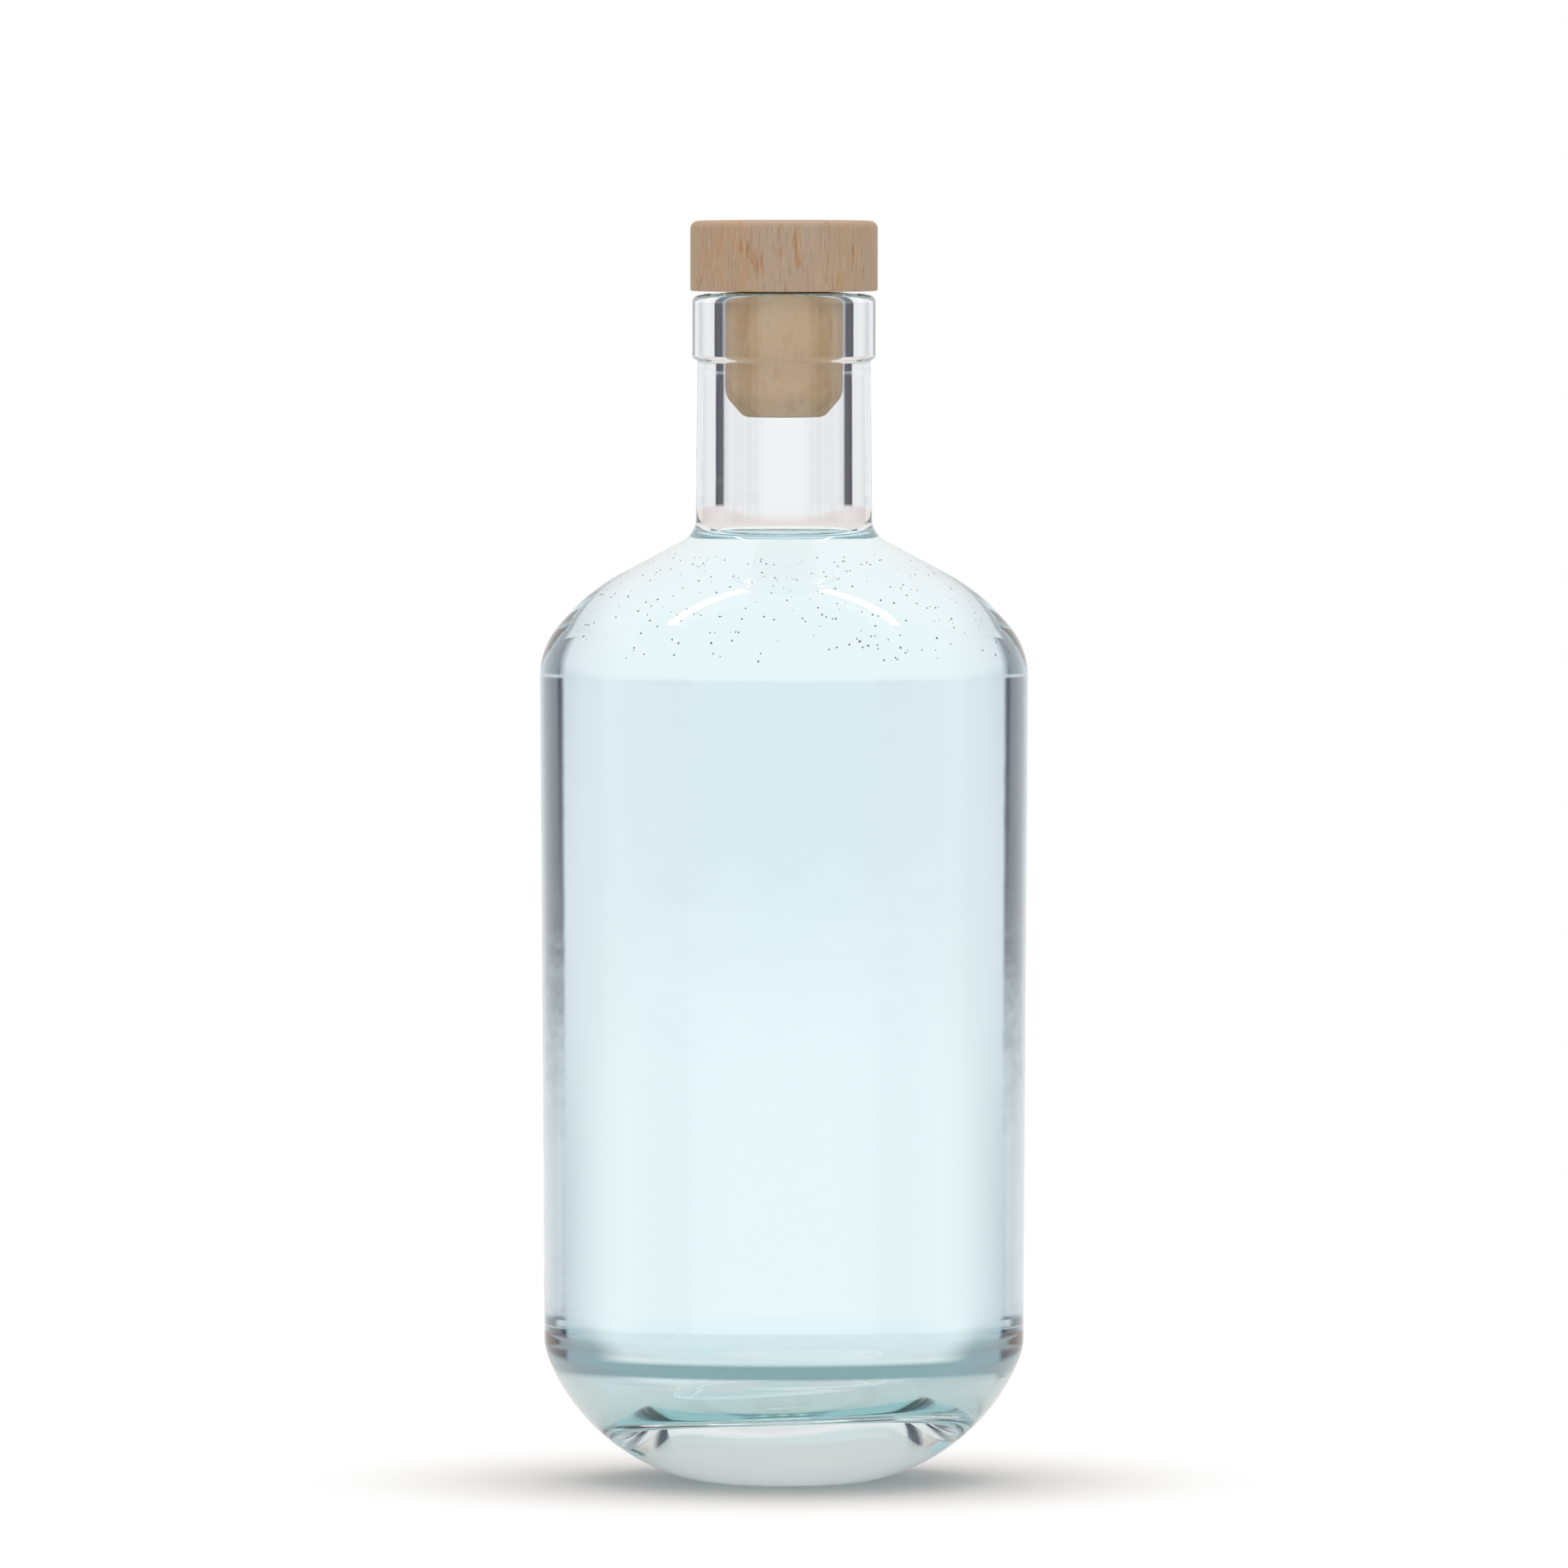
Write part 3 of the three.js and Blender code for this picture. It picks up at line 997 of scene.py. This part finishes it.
# %% Moulded cork
CORK_GROUND = (0.98, 0.68, 0.38)
CORK_LAYERS = {
    "pale mottle": ((0.98, 0.72, 0.43), 220, 1.0, 0.42, 0.6, 3.0),
    "dark mottle": ((0.90, 0.60, 0.34), 420, 0.4, 0.52, 0.68, 3.0),
    "specks": ((0.78, 0.55, 0.32), 3200, 1.0, 0.60, 0.72, 2.0),
}


def moulded_cork():
    material, nodes, links, shader = new_material("moulded_cork")
    links.new(layered(nodes, links, CORK_GROUND, CORK_LAYERS), shader.inputs["Base Color"])
    shader.inputs["Roughness"].default_value = 0.55
    return material


dress(stopper_plug, moulded_cork())

# %% [markdown]
# ## Fasten the pieces to the frame
# Each piece stands for the plain solid of the same form in the frame, and rides on its body, so that the
# stopper lifts out as one.

# %% Ride and replace
for piece, node, body, slot in [
    (bottle_glass, "bottle", "bottle", "glass"),
    (liquid_fill, "liquid", "bottle", "liquid"),
    (shoulder_bubbles, "liquid", "bottle", "liquid"),
    (stopper_wood, "stopper_head", "stopper", "wood"),
    (stopper_plug, "stopper_shank", "stopper", "cork"),
]:
    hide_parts(node)
    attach(piece, body)

# %% [markdown]
# ## The studio
# Clear glass has no colour of its own to show: it is drawn by what stands around it. The photographer's
# white backdrop shows through the middle, and two dark cards at the sides, which never come into the
# picture, are bent into the dark lines along the neck and the shoulder. So the studio's sides are colours
# by the compass angle, and the world and the floor both read them. There are three sets: what stands at
# eye level, what lies lower down, and what the floor shows through the glass.

# %% The studio's sides
QUARTER = 90.0
CARD_FROM, CARD_UNTIL = 45.5, 63
CARD = (0.045, 0.04, 0.065)
STANDING_CARDS = [
    (0, (0.875, 0.895, 0.905)), (24, (0.90, 0.91, 0.92)), (43, (0.80, 0.83, 0.86)), (CARD_FROM, CARD),
    (CARD_UNTIL, CARD), (67, (0.29, 0.31, 0.36)), (82, (0.41, 0.43, 0.47)), (88, (0.86, 0.89, 0.90)),
]
LOW_SIDES = [
    (0, (1, 1, 1)), (22, (1, 1, 1)), (45, (0.74, 0.77, 0.79)),
    (52, (0.60, 0.64, 0.67)), (82, (0.64, 0.67, 0.70)), (88, (0.90, 0.92, 0.93)),
]
FLOOR_CARD = (0.10, 0.13, 0.16)
FLOOR_SIDES = [
    (0, (1, 1, 1)), (24, (1, 1, 1)), (43, (0.80, 0.83, 0.86)), (48, FLOOR_CARD),
    (61, FLOOR_CARD), (66, (0.20, 0.27, 0.32)), (74, (0.42, 0.50, 0.54)), (84, (0.90, 0.93, 0.94)),
]


def studio_sides():
    """The three sets of colours at the compass angle of a direction, the same in all four quarters."""
    group, given, made = group_of(
        "studio_sides", [("Vector", "NodeSocketVector")],
        [("Standing", "NodeSocketColor"), ("Low", "NodeSocketColor"), ("Floor", "NodeSocketColor")],
    )
    nodes, links = group.nodes, group.links
    parts = nodes.new("ShaderNodeSeparateXYZ")
    side = place(nodes, "ShaderNodeMath", operation="ABSOLUTE")
    ahead = place(nodes, "ShaderNodeMath", operation="ABSOLUTE")
    angle = place(nodes, "ShaderNodeMath", operation="ARCTAN2")
    share = place(nodes, "ShaderNodeMath", operation="DIVIDE")
    share.inputs[1].default_value = math.pi / 2
    links.new(given.outputs["Vector"], parts.inputs["Vector"])
    links.new(parts.outputs["X"], side.inputs[0])
    links.new(parts.outputs["Y"], ahead.inputs[0])
    links.new(side.outputs["Value"], angle.inputs[0])
    links.new(ahead.outputs["Value"], angle.inputs[1])
    links.new(angle.outputs["Value"], share.inputs[0])
    for socket, stops in [("Standing", STANDING_CARDS), ("Low", LOW_SIDES), ("Floor", FLOOR_SIDES)]:
        ramp = nodes.new("ShaderNodeValToRGB")
        set_stops(ramp, stops, 0, QUARTER)
        links.new(share.outputs["Value"], ramp.inputs["Fac"])
        links.new(ramp.outputs["Color"], made.inputs[socket])
    return group


SIDES = studio_sides()
print("the cards stand between", CARD_FROM, "and", CARD_UNTIL, "degrees")

# %% [markdown]
# ### Floor
# The floor is a real pale surface, so it takes the bottle's shade, but the picture wants white around it.
# Seen straight by the camera it fades to white a little way out. Seen through the glass it glows with the
# studio's sides, dark where the cards stand, and half of its own shade is left close to the bottle.

# %% Floor disc
FLOOR_RADIUS = 340 * MM
SHADE_FROM = 25 * MM
SHADE_TO = 80 * MM
NEAR_FLOOR = 200 * MM
NEAR_SHARE = 0.5
FLOOR_VERTICES = 96

bpy.ops.object.select_all(action="DESELECT")
bpy.ops.mesh.primitive_circle_add(
    vertices=FLOOR_VERTICES, radius=FLOOR_RADIUS, fill_type="NGON", location=(0, 0, 0),
)
studio_floor = bpy.context.object
studio_floor.name = "studio_floor"
print("the floor is", round(2 * FLOOR_RADIUS, 2), "m across")


# %% Floor material
def fade_by(nodes, links, distance, start, end, value_at_start):
    fade = share_between(nodes, start, end, interpolation_type="SMOOTHSTEP")
    fade.inputs["To Min"].default_value = value_at_start
    links.new(distance, fade.inputs["Value"])
    return fade.outputs["Result"]


def product(nodes, links, first, second):
    node = place(nodes, "ShaderNodeMath", operation="MULTIPLY")
    links.new(first, node.inputs[0])
    links.new(second, node.inputs[1])
    return node.outputs["Value"]


def pale_floor():
    material, nodes, links, shader = new_material("pale_floor")
    shader.inputs["Base Color"].default_value = (0.93, 0.93, 0.93, 1)
    shader.inputs["Roughness"].default_value = 0.9
    shader.inputs["Specular IOR Level"].default_value = 0.0
    place_on = nodes.new("ShaderNodeTexCoord")
    distance = place(nodes, "ShaderNodeVectorMath", operation="LENGTH")
    links.new(place_on.outputs["Object"], distance.inputs[0])
    light_path = nodes.new("ShaderNodeLightPath")
    seen_straight = product(
        nodes, links, light_path.outputs["Is Camera Ray"],
        fade_by(nodes, links, distance.outputs["Value"], SHADE_FROM, SHADE_TO, 0),
    )
    seen_through = product(
        nodes, links, light_path.outputs["Is Transmission Ray"],
        fade_by(nodes, links, distance.outputs["Value"], 0, NEAR_FLOOR, NEAR_SHARE),
    )
    seen = place(nodes, "ShaderNodeMath", operation="MAXIMUM")
    links.new(seen_straight, seen.inputs[0])
    links.new(seen_through, seen.inputs[1])
    sides = place(nodes, "ShaderNodeGroup", node_tree=SIDES)
    links.new(place_on.outputs["Object"], sides.inputs["Vector"])
    colour = place(nodes, "ShaderNodeMix", data_type="RGBA")
    colour.inputs["A"].default_value = (1, 1, 1, 1)
    links.new(light_path.outputs["Is Transmission Ray"], colour.inputs["Factor"])
    links.new(sides.outputs["Floor"], colour.inputs["B"])
    glow = nodes.new("ShaderNodeEmission")
    links.new(colour.outputs["Result"], glow.inputs["Color"])
    mix = nodes.new("ShaderNodeMixShader")
    links.new(seen.outputs["Value"], mix.inputs["Fac"])
    links.new(shader.outputs["BSDF"], mix.inputs[1])
    links.new(glow.outputs["Emission"], mix.inputs[2])
    links.new(mix.outputs["Shader"], nodes["Material Output"].inputs["Surface"])
    return material


dress(studio_floor, pale_floor())
print("the floor is white again", round(SHADE_TO / MM), "mm from the axis")

# %% [markdown]
# ### World
# The cards reach from just above the floor to above the bottle, so the world shows them only between two
# heights. Under them is a narrow gap with the pale low sides, and below the gap the world goes on as the
# floor does. Above the cards is the soft grey of the room. The camera itself sees plain white.

# %% World
LOWEST, HIGHEST = -0.3, 0.7
NONE, ALL = (0, 0, 0), (1, 1, 1)
FLOOR_HEIGHTS = [(-0.068, ALL), (-0.061, NONE)]
ROOM_HEIGHTS = [(0.02, NONE), (0.14, ALL)]
CARD_BOTTOM, CARD_TOP = -0.041, 0.06
CARD_HEIGHTS = [(-0.052, NONE), (CARD_BOTTOM, ALL), (CARD_TOP, ALL), (0.15, NONE)]
ROOM = (0.80, 0.75, 0.725, 1)


def studio_world():
    world = bpy.data.worlds.new("studio_world")
    world.use_nodes = True
    nodes, links = world.node_tree.nodes, world.node_tree.links
    nodes.clear()
    direction = nodes.new("ShaderNodeTexCoord")
    parts = nodes.new("ShaderNodeSeparateXYZ")
    height = share_between(nodes, LOWEST, HIGHEST)
    links.new(direction.outputs["Generated"], parts.inputs["Vector"])
    links.new(parts.outputs["Z"], height.inputs["Value"])
    sides = place(nodes, "ShaderNodeGroup", node_tree=SIDES)
    links.new(direction.outputs["Generated"], sides.inputs["Vector"])
    colour = sides.outputs["Low"]
    for stops, over in [
        (FLOOR_HEIGHTS, sides.outputs["Floor"]),
        (ROOM_HEIGHTS, ROOM),
        (CARD_HEIGHTS, sides.outputs["Standing"]),
    ]:
        share = nodes.new("ShaderNodeValToRGB")
        set_stops(share, stops, LOWEST, HIGHEST)
        links.new(height.outputs["Result"], share.inputs["Fac"])
        mix = place(nodes, "ShaderNodeMix", data_type="RGBA")
        links.new(share.outputs["Color"], mix.inputs["Factor"])
        links.new(colour, mix.inputs["A"])
        if isinstance(over, tuple):
            mix.inputs["B"].default_value = over
        else:
            links.new(over, mix.inputs["B"])
        colour = mix.outputs["Result"]
    around = nodes.new("ShaderNodeBackground")
    backdrop = nodes.new("ShaderNodeBackground")
    backdrop.inputs["Color"].default_value = (1, 1, 1, 1)
    light_path = nodes.new("ShaderNodeLightPath")
    choose = nodes.new("ShaderNodeMixShader")
    world_out = nodes.new("ShaderNodeOutputWorld")
    links.new(colour, around.inputs["Color"])
    links.new(light_path.outputs["Is Camera Ray"], choose.inputs["Fac"])
    links.new(around.outputs["Background"], choose.inputs[1])
    links.new(backdrop.outputs["Background"], choose.inputs[2])
    links.new(choose.outputs["Shader"], world_out.inputs["Surface"])
    return world


bpy.context.scene.world = studio_world()
print("the cards reach from", CARD_BOTTOM, "to", CARD_TOP, "of the sky")

# %% [markdown]
# ### Lamps
# Two long strip lamps above the shoulder draw the two white arcs on it, and a weak patch above lights the
# wood. Each is an area lamp that faces the shoulder. Its brightness is that of its surface, so its power
# follows its size.

# %% Lamps
LAMP_AIM = Vector((0, 0, 0.14))
LAMP_REACH = 1.2


def softbox(name, toward, turn_towards, length, width, brightness):
    """An area lamp in a direction from the shoulder, faced back at it, its long side along another."""
    lamp = bpy.data.lights.new(name, "AREA")
    lamp.shape = "RECTANGLE"
    lamp.size = length
    lamp.size_y = width
    lamp.energy = brightness * math.pi * length * width
    thing = bpy.data.objects.new(name, lamp)
    bpy.context.scene.collection.objects.link(thing)
    thing.location = LAMP_AIM + toward * LAMP_REACH
    along = (turn_towards - toward * turn_towards.dot(toward)).normalized()
    across = toward.cross(along).normalized()
    thing.rotation_euler = Matrix((along, across, toward)).transposed().to_euler()
    return thing


STRIP_WIDTH = 0.08
STRIP_GLOW = 8
PATCH_SIDE = 0.3
PATCH_GLOW = 3
PATCH_TOWARD = Vector((0, 0.42, 0.9)).normalized()
SIDEWAYS = Vector((1, 0, 0))
STRIP_ENDS = (Vector((-0.14, 0.34, 0.93)), Vector((-0.53, 0.11, 0.84)))
for name, side in [("strip_left", 1), ("strip_right", -1)]:
    near, far = [Vector((end.x * side, end.y, end.z)).normalized() for end in STRIP_ENDS]
    reach = (far - near).length * LAMP_REACH
    softbox(name, ((near + far) / 2).normalized(), far - near, reach, STRIP_WIDTH, STRIP_GLOW)
softbox("patch_above", PATCH_TOWARD, SIDEWAYS, PATCH_SIDE, PATCH_SIDE, PATCH_GLOW)
print("there are", len(bpy.data.lights), "lamps")

# %% [markdown]
# ### Camera
# A long lens from three metres, a little above the bottle, as a product photographer would stand. Its
# length follows from how many millimetres one pixel of the picture covers at the bottle.

# %% Camera
PHOTO_SIDE = 1932
PIXEL_SIDE = 0.13 * MM
CAMERA_DISTANCE = 3.0
CAMERA_RISE = math.radians(2.4)
AIM_HEIGHT = 111.7 * MM
SENSOR = 36.0
FAR_END = 50
bpy.ops.object.camera_add()
camera = bpy.context.object
camera.name = "studio_camera"
back = Vector((0, -math.cos(CAMERA_RISE), math.sin(CAMERA_RISE)))
camera.location = Vector((0, 0, AIM_HEIGHT)) + back * CAMERA_DISTANCE
camera.rotation_euler = (-back).to_track_quat("-Z", "Y").to_euler()
camera.data.sensor_width = SENSOR
camera.data.lens = SENSOR * CAMERA_DISTANCE / (PHOTO_SIDE * PIXEL_SIDE)
camera.data.clip_end = FAR_END
bpy.context.scene.camera = camera
print("the lens is", round(camera.data.lens), "mm long")

# %% [markdown]
# ### Light paths
# A ray crosses eight faces on its way through glass, liquid and glass again, and more in the foot, so it
# is allowed many bounces. The colours go out as they are, without a film look.

# %% Light paths and colour
BOUNCES = 32
GLOSSY_BOUNCES = 16
cycles = bpy.context.scene.cycles
cycles.max_bounces = BOUNCES
cycles.transmission_bounces = BOUNCES
cycles.glossy_bounces = GLOSSY_BOUNCES
cycles.transparent_max_bounces = BOUNCES
bpy.context.scene.view_settings.view_transform = "Standard"
print("a ray may bounce", cycles.max_bounces, "times")
